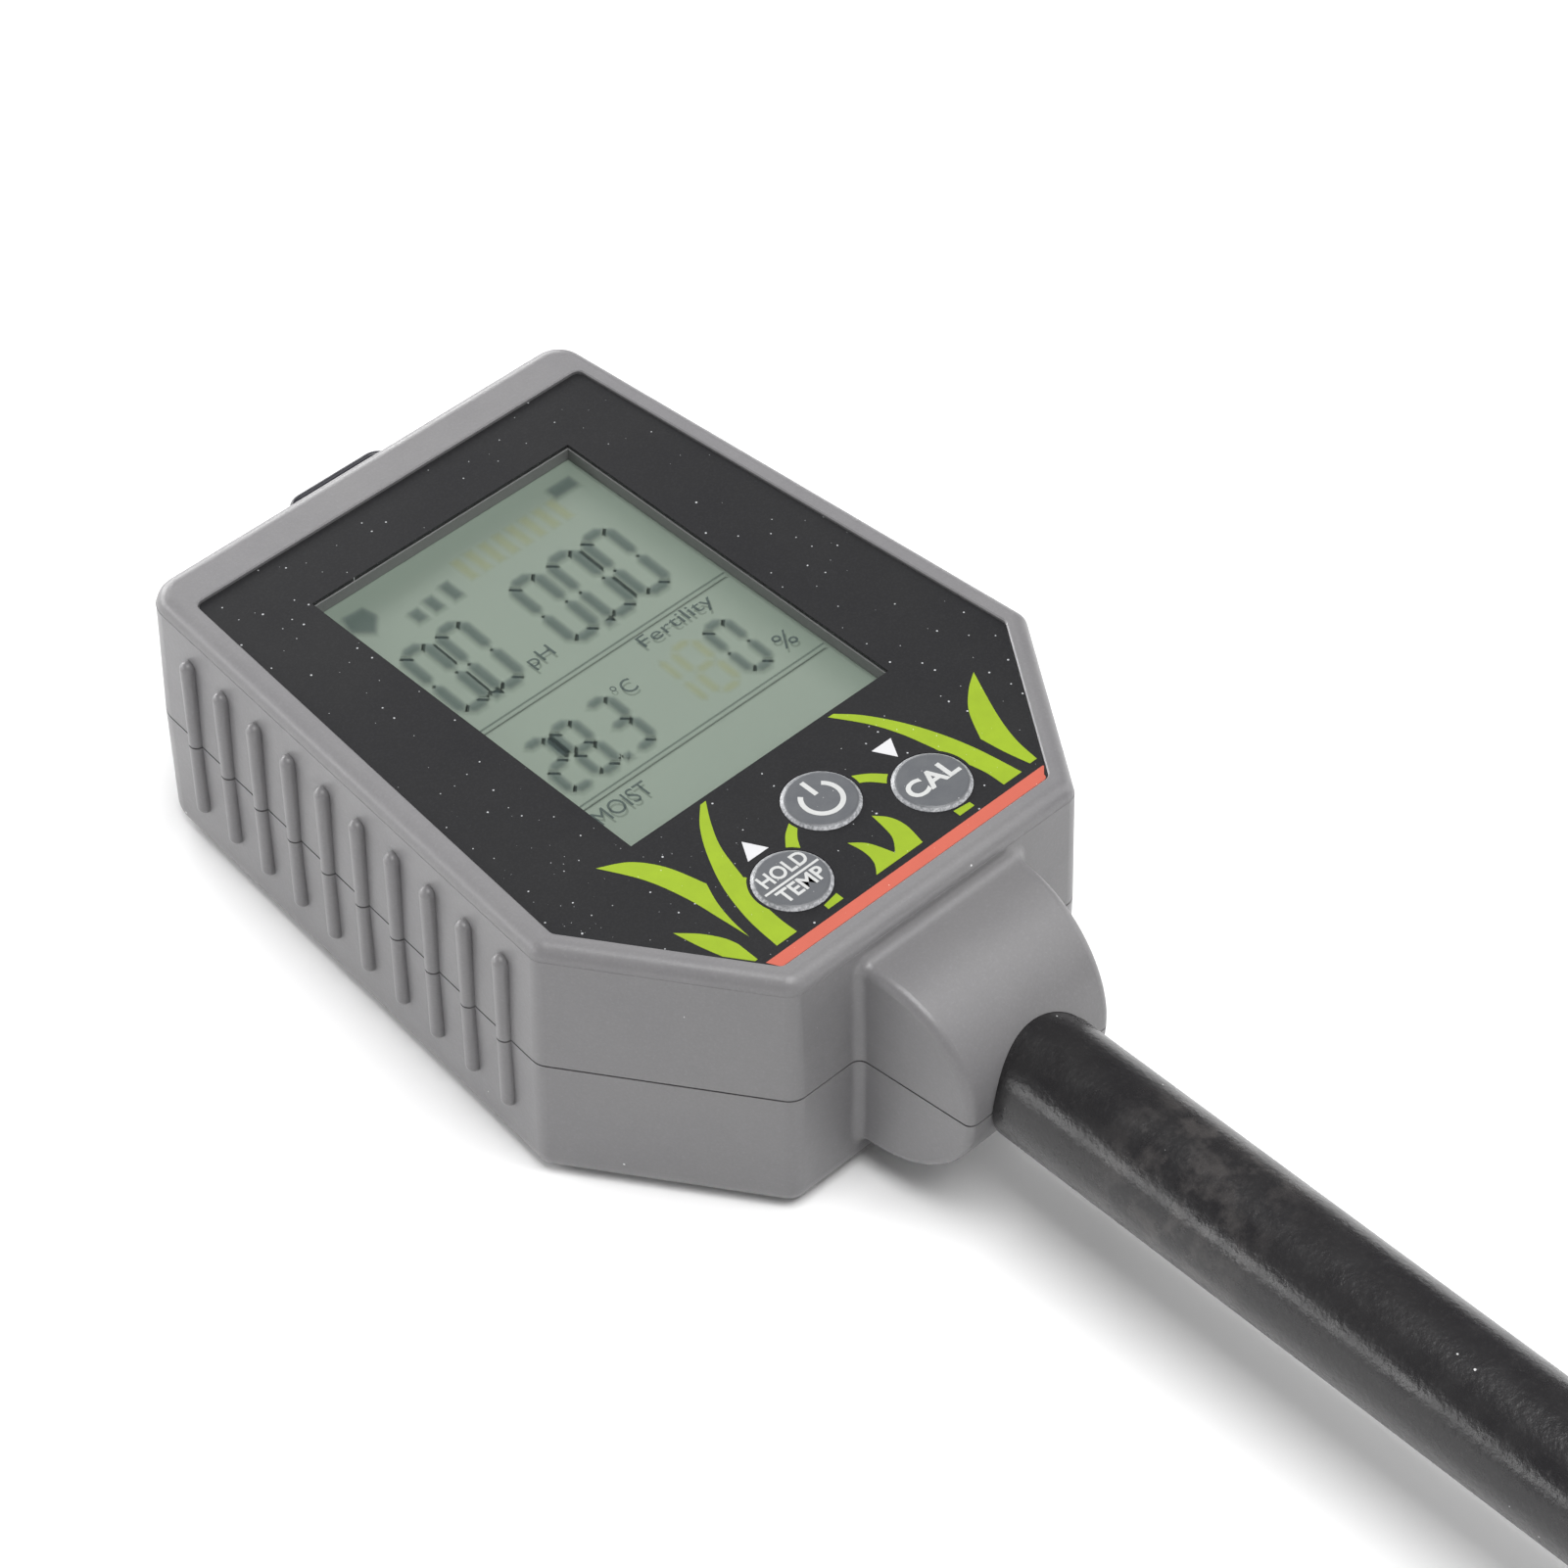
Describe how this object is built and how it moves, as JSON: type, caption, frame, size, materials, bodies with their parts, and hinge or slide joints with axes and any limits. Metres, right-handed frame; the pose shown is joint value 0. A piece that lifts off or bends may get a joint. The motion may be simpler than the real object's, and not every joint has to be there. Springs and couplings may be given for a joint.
{
  "type": "soil pH meter",
  "caption": "Hand-held soil tester: grey two-shell housing with LCD, round keys and battery door, barrel neck and a long black probe tube with a pointed metal tip.",
  "frame": {"origin": "middle of the moulded housing (neck included) on its flat rear face, which the instrument lies on", "axes": "+Z out of the display, +Y towards the display's upper edge and the hanging loop, -Y along the probe to its tip, +X to the display's right"},
  "size_m": [0.0808, 0.4228, 0.038],
  "materials": {
    "housing_plastic": "fine moulded grain, satin",
    "faceplate_black": "matte printed film",
    "clear_window": "polished",
    "display_glass": "grey-green display",
    "light_guide": "milky",
    "white_plastic": "moulded",
    "black_plastic": "moulded",
    "silicone": "soft",
    "circuit_board": "solder mask",
    "chip_black": "moulded",
    "tin_can": "tinned",
    "key_grey": "moulded",
    "contact_metal": "nickel plated",
    "cell_jacket": "dark jacket, plain",
    "foam": "foam",
    "screw_steel": "zinc plated",
    "loop_wire": "black wire",
    "black_coat": "satin powder coat",
    "seal_rubber": "smooth",
    "cable_jacket": "smooth",
    "electrode_steel": "turned",
    "collar_steel": "turned"
  },
  "bodies": {
    "housing": {"front_shell": "housing_plastic", "rear_shell": "housing_plastic", "overlay_film": "faceplate_black", "window_lens": "clear_window", "lcd_glass": "display_glass", "lcd_frame": "white_plastic", "backlight": "light_guide", "elastomer_connector": "silicone", "main_board": "circuit_board", "mcu_chip": "chip_black", "amplifier_chip": "chip_black", "crystal": "tin_can", "filter_capacitor": "tin_can", "power_switch": "black_plastic", "cal_switch": "black_plastic", "hold_switch": "black_plastic", "probe_socket": "white_plastic", "probe_plug": "white_plastic", "probe_cable": "cable_jacket", "battery": "cell_jacket", "battery_contact_pos": "contact_metal", "battery_contact_neg": "contact_metal", "battery_pad": "foam", "case_screws": "screw_steel", "board_screws": "screw_steel", "hang_loop": "loop_wire", "probe_tube": "black_coat", "tube_collar": "collar_steel", "collar_screw": "screw_steel", "tube_seal": "seal_rubber", "tube_end_bush": "black_plastic", "probe_insulator": "black_plastic", "ring_electrode": "electrode_steel", "insulator_ring": "black_plastic", "tip_electrode": "electrode_steel", "thermistor": "black_plastic"},
    "power_key": {"power_button": "key_grey", "power_plunger": "white_plastic"},
    "cal_key": {"cal_button": "key_grey", "cal_plunger": "white_plastic"},
    "hold_key": {"hold_button": "key_grey", "hold_plunger": "white_plastic"},
    "door": {"battery_door": "housing_plastic"}
  },
  "joints": [
    {"name": "power_press", "type": "slide", "parent": "housing", "child": "power_key", "axis": [0, 0, -1], "range_m": [0, 0.0003], "stiffness_N_per_m": 4000},
    {"name": "cal_press", "type": "slide", "parent": "housing", "child": "cal_key", "axis": [0, 0, -1], "range_m": [0, 0.0003], "stiffness_N_per_m": 4000},
    {"name": "hold_press", "type": "slide", "parent": "housing", "child": "hold_key", "axis": [0, 0, -1], "range_m": [0, 0.0003], "stiffness_N_per_m": 4000},
    {"name": "door_slide", "type": "slide", "parent": "housing", "child": "door", "axis": [0, 1, 0], "range_m": [0, 0.05]}
  ]
}
